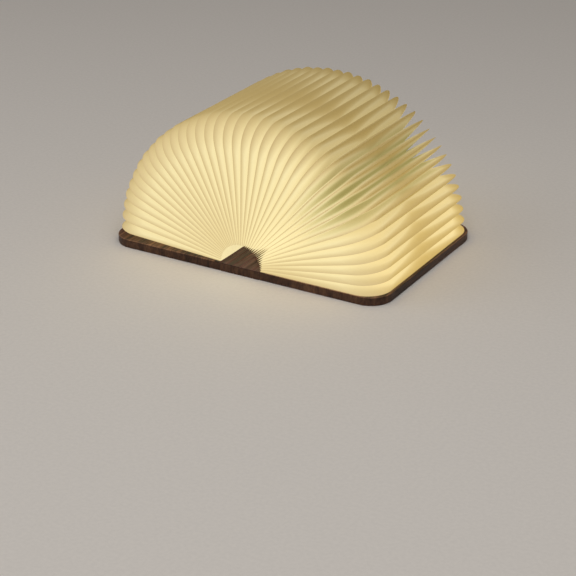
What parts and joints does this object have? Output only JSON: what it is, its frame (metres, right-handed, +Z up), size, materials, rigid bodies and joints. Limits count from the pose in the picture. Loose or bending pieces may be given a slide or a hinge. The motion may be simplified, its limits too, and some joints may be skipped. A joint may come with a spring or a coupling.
{
  "type": "folding book lamp",
  "caption": "Rechargeable table lamp shaped like a book: two wooden covers on a slatted spine open flat into a fan of glowing pleated pages.",
  "frame": {"origin": "middle of the open lamp's footprint, on the table", "axes": "+Z up from the table; X across the two open covers, with the cover that holds the battery on +X; Y along the spine, with the charging socket on +Y"},
  "size_m": [0.1818, 0.122, 0.0956],
  "materials": {
    "walnut": "oiled, open grain",
    "page_paper": "matte, fibrous, lets the lamp light through",
    "spine_lining": "matte, stained to match the walnut",
    "circuit_board": "white solder mask",
    "led_emitter": "yellow phosphor",
    "diffuser": "frosted",
    "ribbon_film": "amber film",
    "cell_foil": "satin foil",
    "lid_board": "matte",
    "chip_plastic": "matte black",
    "socket_steel": "satin",
    "magnet_plating": "bright nickel"
  },
  "bodies": {
    "right_cover": {"right_cover": "walnut", "page_01": "page_paper", "battery_cell": "cell_foil", "battery_lid": "lid_board", "charging_board": "circuit_board", "board_parts": "chip_plastic", "usb_socket": "socket_steel", "magnets_right": "magnet_plating", "led_ribbon": "ribbon_film"},
    "slat_1": {"spine_slat_1": "walnut"},
    "slat_2": {"spine_slat_2": "walnut"},
    "slat_3": {"spine_slat_3": "walnut", "led_board": "circuit_board", "led_chips": "led_emitter", "led_diffuser": "diffuser", "spine_lining": "spine_lining"},
    "slat_4": {"spine_slat_4": "walnut"},
    "slat_5": {"spine_slat_5": "walnut"},
    "slat_6": {"spine_slat_6": "walnut"},
    "left_cover": {"left_cover": "walnut", "magnets_left": "magnet_plating"},
    "page_02": {"page_02": "page_paper"},
    "page_03": {"page_03": "page_paper"},
    "page_04": {"page_04": "page_paper"},
    "page_05": {"page_05": "page_paper"},
    "page_06": {"page_06": "page_paper"},
    "page_07": {"page_07": "page_paper"},
    "page_08": {"page_08": "page_paper"},
    "page_09": {"page_09": "page_paper"},
    "page_10": {"page_10": "page_paper"},
    "page_11": {"page_11": "page_paper"},
    "page_12": {"page_12": "page_paper"},
    "page_13": {"page_13": "page_paper"},
    "page_14": {"page_14": "page_paper"},
    "page_15": {"page_15": "page_paper"},
    "page_16": {"page_16": "page_paper"},
    "page_17": {"page_17": "page_paper"},
    "page_18": {"page_18": "page_paper"},
    "page_19": {"page_19": "page_paper"},
    "page_20": {"page_20": "page_paper"},
    "page_21": {"page_21": "page_paper"},
    "page_22": {"page_22": "page_paper"},
    "page_23": {"page_23": "page_paper"},
    "page_24": {"page_24": "page_paper"},
    "page_25": {"page_25": "page_paper"},
    "page_26": {"page_26": "page_paper"},
    "page_27": {"page_27": "page_paper"},
    "page_28": {"page_28": "page_paper"},
    "page_29": {"page_29": "page_paper"},
    "page_30": {"page_30": "page_paper"},
    "page_31": {"page_31": "page_paper"},
    "page_32": {"page_32": "page_paper"},
    "page_33": {"page_33": "page_paper"},
    "page_34": {"page_34": "page_paper"},
    "page_35": {"page_35": "page_paper"},
    "page_36": {"page_36": "page_paper"},
    "page_37": {"page_37": "page_paper"},
    "page_38": {"page_38": "page_paper"},
    "page_39": {"page_39": "page_paper"},
    "page_40": {"page_40": "page_paper"}
  },
  "joints": [
    {"name": "spine_fold_1", "type": "hinge", "parent": "right_cover", "child": "slat_1", "pos_m": [0.0129, 0, 0.0051], "axis": [0, 1, 0], "range_deg": [0, 10]},
    {"name": "spine_fold_2", "type": "hinge", "parent": "slat_1", "child": "slat_2", "pos_m": [0.0086, 0, 0.0051], "axis": [0, 1, 0], "range_deg": [0, 32]},
    {"name": "spine_fold_3", "type": "hinge", "parent": "slat_2", "child": "slat_3", "pos_m": [0.0043, 0, 0.0051], "axis": [0, 1, 0], "range_deg": [0, 32]},
    {"name": "spine_fold_4", "type": "hinge", "parent": "slat_3", "child": "slat_4", "pos_m": [0, 0, 0.0051], "axis": [0, 1, 0], "range_deg": [0, 32], "deforming": ["spine_lining", "led_ribbon"]},
    {"name": "spine_fold_5", "type": "hinge", "parent": "slat_4", "child": "slat_5", "pos_m": [-0.0043, 0, 0.0051], "axis": [0, 1, 0], "range_deg": [0, 32]},
    {"name": "spine_fold_6", "type": "hinge", "parent": "slat_5", "child": "slat_6", "pos_m": [-0.0086, 0, 0.0051], "axis": [0, 1, 0], "range_deg": [0, 32]},
    {"name": "spine_fold_7", "type": "hinge", "parent": "slat_6", "child": "left_cover", "pos_m": [-0.0129, 0, 0.0051], "axis": [0, 1, 0], "range_deg": [0, 10]},
    {"name": "page_02_turn", "type": "hinge", "parent": "slat_3", "child": "page_02", "pos_m": [0.0073, 0, 0.00622], "axis": [0, 1, 0], "range_deg": [-69.46, 0]},
    {"name": "page_03_turn", "type": "hinge", "parent": "slat_3", "child": "page_03", "pos_m": [0.00743, 0, 0.00635], "axis": [0, 1, 0], "range_deg": [-64.92, 0]},
    {"name": "page_04_turn", "type": "hinge", "parent": "slat_3", "child": "page_04", "pos_m": [0.00759, 0, 0.00648], "axis": [0, 1, 0], "range_deg": [-60.38, 0]},
    {"name": "page_05_turn", "type": "hinge", "parent": "slat_3", "child": "page_05", "pos_m": [0.0078, 0, 0.0066], "axis": [0, 1, 0], "range_deg": [-55.85, 0]},
    {"name": "page_06_turn", "type": "hinge", "parent": "slat_3", "child": "page_06", "pos_m": [0.00806, 0, 0.00672], "axis": [0, 1, 0], "range_deg": [-51.31, 0]},
    {"name": "page_07_turn", "type": "hinge", "parent": "slat_3", "child": "page_07", "pos_m": [0.00841, 0, 0.00684], "axis": [0, 1, 0], "range_deg": [-46.77, 0]},
    {"name": "page_08_turn", "type": "hinge", "parent": "slat_3", "child": "page_08", "pos_m": [0.00885, 0, 0.00695], "axis": [0, 1, 0], "range_deg": [-42.23, 0]},
    {"name": "page_09_turn", "type": "hinge", "parent": "slat_3", "child": "page_09", "pos_m": [0.00944, 0, 0.00705], "axis": [0, 1, 0], "range_deg": [-37.69, 0]},
    {"name": "page_10_turn", "type": "hinge", "parent": "slat_3", "child": "page_10", "pos_m": [0.01023, 0, 0.00716], "axis": [0, 1, 0], "range_deg": [-33.15, 0]},
    {"name": "page_11_turn", "type": "hinge", "parent": "slat_3", "child": "page_11", "pos_m": [0.0113, 0, 0.00726], "axis": [0, 1, 0], "range_deg": [-28.62, 0]},
    {"name": "page_12_turn", "type": "hinge", "parent": "slat_3", "child": "page_12", "pos_m": [0.01284, 0, 0.00736], "axis": [0, 1, 0], "range_deg": [-24.08, 0]},
    {"name": "page_13_turn", "type": "hinge", "parent": "slat_3", "child": "page_13", "pos_m": [0.01516, 0, 0.00747], "axis": [0, 1, 0], "range_deg": [-19.54, 0]},
    {"name": "page_14_turn", "type": "hinge", "parent": "slat_3", "child": "page_14", "pos_m": [0.01898, 0, 0.00759], "axis": [0, 1, 0], "range_deg": [-15, 0]},
    {"name": "page_15_turn", "type": "hinge", "parent": "slat_4", "child": "page_15", "pos_m": [0.00617, 0, 0.00756], "axis": [0, 1, 0], "range_deg": [-42.46, 0]},
    {"name": "page_16_turn", "type": "hinge", "parent": "slat_4", "child": "page_16", "pos_m": [0.00673, 0, 0.00752], "axis": [0, 1, 0], "range_deg": [-37.92, 0]},
    {"name": "page_17_turn", "type": "hinge", "parent": "slat_4", "child": "page_17", "pos_m": [0.00749, 0, 0.00745], "axis": [0, 1, 0], "range_deg": [-33.38, 0]},
    {"name": "page_18_turn", "type": "hinge", "parent": "slat_4", "child": "page_18", "pos_m": [0.00854, 0, 0.00737], "axis": [0, 1, 0], "range_deg": [-28.85, 0]},
    {"name": "page_19_turn", "type": "hinge", "parent": "slat_4", "child": "page_19", "pos_m": [0.01005, 0, 0.00726], "axis": [0, 1, 0], "range_deg": [-24.31, 0]},
    {"name": "page_20_turn", "type": "hinge", "parent": "slat_4", "child": "page_20", "pos_m": [0.01234, 0, 0.00711], "axis": [0, 1, 0], "range_deg": [-19.77, 0]},
    {"name": "page_21_turn", "type": "hinge", "parent": "slat_3", "child": "page_21", "pos_m": [-0.01449, 0, 0.00757], "axis": [0, 1, 0], "range_deg": [0, 16.77]},
    {"name": "page_22_turn", "type": "hinge", "parent": "slat_3", "child": "page_22", "pos_m": [-0.0114, 0, 0.00765], "axis": [0, 1, 0], "range_deg": [0, 21.31]},
    {"name": "page_23_turn", "type": "hinge", "parent": "slat_3", "child": "page_23", "pos_m": [-0.00945, 0, 0.0077], "axis": [0, 1, 0], "range_deg": [0, 25.85]},
    {"name": "page_24_turn", "type": "hinge", "parent": "slat_3", "child": "page_24", "pos_m": [-0.00814, 0, 0.00774], "axis": [0, 1, 0], "range_deg": [0, 30.38]},
    {"name": "page_25_turn", "type": "hinge", "parent": "slat_3", "child": "page_25", "pos_m": [-0.00721, 0, 0.00777], "axis": [0, 1, 0], "range_deg": [0, 34.92]},
    {"name": "page_26_turn", "type": "hinge", "parent": "slat_3", "child": "page_26", "pos_m": [-0.00653, 0, 0.00779], "axis": [0, 1, 0], "range_deg": [0, 39.46]},
    {"name": "page_27_turn", "type": "hinge", "parent": "slat_4", "child": "page_27", "pos_m": [-0.02347, 0, 0.00848], "axis": [0, 1, 0], "range_deg": [0, 12]},
    {"name": "page_28_turn", "type": "hinge", "parent": "slat_4", "child": "page_28", "pos_m": [-0.0177, 0, 0.00811], "axis": [0, 1, 0], "range_deg": [0, 16.54]},
    {"name": "page_29_turn", "type": "hinge", "parent": "slat_4", "child": "page_29", "pos_m": [-0.01448, 0, 0.00787], "axis": [0, 1, 0], "range_deg": [0, 21.08]},
    {"name": "page_30_turn", "type": "hinge", "parent": "slat_4", "child": "page_30", "pos_m": [-0.01245, 0, 0.00768], "axis": [0, 1, 0], "range_deg": [0, 25.62]},
    {"name": "page_31_turn", "type": "hinge", "parent": "slat_4", "child": "page_31", "pos_m": [-0.01107, 0, 0.00752], "axis": [0, 1, 0], "range_deg": [0, 30.15]},
    {"name": "page_32_turn", "type": "hinge", "parent": "slat_4", "child": "page_32", "pos_m": [-0.0101, 0, 0.00737], "axis": [0, 1, 0], "range_deg": [0, 34.69]},
    {"name": "page_33_turn", "type": "hinge", "parent": "slat_4", "child": "page_33", "pos_m": [-0.00938, 0, 0.00723], "axis": [0, 1, 0], "range_deg": [0, 39.23]},
    {"name": "page_34_turn", "type": "hinge", "parent": "slat_4", "child": "page_34", "pos_m": [-0.00884, 0, 0.0071], "axis": [0, 1, 0], "range_deg": [0, 43.77]},
    {"name": "page_35_turn", "type": "hinge", "parent": "slat_4", "child": "page_35", "pos_m": [-0.00842, 0, 0.00696], "axis": [0, 1, 0], "range_deg": [0, 48.31]},
    {"name": "page_36_turn", "type": "hinge", "parent": "slat_4", "child": "page_36", "pos_m": [-0.0081, 0, 0.00683], "axis": [0, 1, 0], "range_deg": [0, 52.85]},
    {"name": "page_37_turn", "type": "hinge", "parent": "slat_4", "child": "page_37", "pos_m": [-0.00785, 0, 0.00669], "axis": [0, 1, 0], "range_deg": [0, 57.38]},
    {"name": "page_38_turn", "type": "hinge", "parent": "slat_4", "child": "page_38", "pos_m": [-0.00766, 0, 0.00655], "axis": [0, 1, 0], "range_deg": [0, 61.92]},
    {"name": "page_39_turn", "type": "hinge", "parent": "slat_4", "child": "page_39", "pos_m": [-0.00751, 0, 0.00641], "axis": [0, 1, 0], "range_deg": [0, 66.46]},
    {"name": "page_40_turn", "type": "hinge", "parent": "slat_4", "child": "page_40", "pos_m": [-0.00739, 0, 0.00626], "axis": [0, 1, 0], "range_deg": [0, 71]}
  ],
  "couplings": [
    {"joint": "spine_fold_1", "follows": "spine_fold_4", "ratio": 0.3125},
    {"joint": "spine_fold_2", "follows": "spine_fold_4", "ratio": 1},
    {"joint": "spine_fold_3", "follows": "spine_fold_4", "ratio": 1},
    {"joint": "spine_fold_5", "follows": "spine_fold_4", "ratio": 1},
    {"joint": "spine_fold_6", "follows": "spine_fold_4", "ratio": 1},
    {"joint": "spine_fold_7", "follows": "spine_fold_4", "ratio": 0.3125},
    {"joint": "page_02_turn", "follows": "spine_fold_4", "ratio": -2.1707},
    {"joint": "page_03_turn", "follows": "spine_fold_4", "ratio": -2.0288},
    {"joint": "page_04_turn", "follows": "spine_fold_4", "ratio": -1.887},
    {"joint": "page_05_turn", "follows": "spine_fold_4", "ratio": -1.7452},
    {"joint": "page_06_turn", "follows": "spine_fold_4", "ratio": -1.6034},
    {"joint": "page_07_turn", "follows": "spine_fold_4", "ratio": -1.4615},
    {"joint": "page_08_turn", "follows": "spine_fold_4", "ratio": -1.3197},
    {"joint": "page_09_turn", "follows": "spine_fold_4", "ratio": -1.1779},
    {"joint": "page_10_turn", "follows": "spine_fold_4", "ratio": -1.0361},
    {"joint": "page_11_turn", "follows": "spine_fold_4", "ratio": -0.89423},
    {"joint": "page_12_turn", "follows": "spine_fold_4", "ratio": -0.7524},
    {"joint": "page_13_turn", "follows": "spine_fold_4", "ratio": -0.61058},
    {"joint": "page_14_turn", "follows": "spine_fold_4", "ratio": -0.46875},
    {"joint": "page_15_turn", "follows": "spine_fold_4", "ratio": -1.3269},
    {"joint": "page_16_turn", "follows": "spine_fold_4", "ratio": -1.1851},
    {"joint": "page_17_turn", "follows": "spine_fold_4", "ratio": -1.0433},
    {"joint": "page_18_turn", "follows": "spine_fold_4", "ratio": -0.90144},
    {"joint": "page_19_turn", "follows": "spine_fold_4", "ratio": -0.75962},
    {"joint": "page_20_turn", "follows": "spine_fold_4", "ratio": -0.61779},
    {"joint": "page_21_turn", "follows": "spine_fold_4", "ratio": 0.52404},
    {"joint": "page_22_turn", "follows": "spine_fold_4", "ratio": 0.66587},
    {"joint": "page_23_turn", "follows": "spine_fold_4", "ratio": 0.80769},
    {"joint": "page_24_turn", "follows": "spine_fold_4", "ratio": 0.94952},
    {"joint": "page_25_turn", "follows": "spine_fold_4", "ratio": 1.0913},
    {"joint": "page_26_turn", "follows": "spine_fold_4", "ratio": 1.2332},
    {"joint": "page_27_turn", "follows": "spine_fold_4", "ratio": 0.375},
    {"joint": "page_28_turn", "follows": "spine_fold_4", "ratio": 0.51683},
    {"joint": "page_29_turn", "follows": "spine_fold_4", "ratio": 0.65865},
    {"joint": "page_30_turn", "follows": "spine_fold_4", "ratio": 0.80048},
    {"joint": "page_31_turn", "follows": "spine_fold_4", "ratio": 0.94231},
    {"joint": "page_32_turn", "follows": "spine_fold_4", "ratio": 1.0841},
    {"joint": "page_33_turn", "follows": "spine_fold_4", "ratio": 1.226},
    {"joint": "page_34_turn", "follows": "spine_fold_4", "ratio": 1.3678},
    {"joint": "page_35_turn", "follows": "spine_fold_4", "ratio": 1.5096},
    {"joint": "page_36_turn", "follows": "spine_fold_4", "ratio": 1.6514},
    {"joint": "page_37_turn", "follows": "spine_fold_4", "ratio": 1.7933},
    {"joint": "page_38_turn", "follows": "spine_fold_4", "ratio": 1.9351},
    {"joint": "page_39_turn", "follows": "spine_fold_4", "ratio": 2.0769},
    {"joint": "page_40_turn", "follows": "spine_fold_4", "ratio": 2.2188}
  ]
}
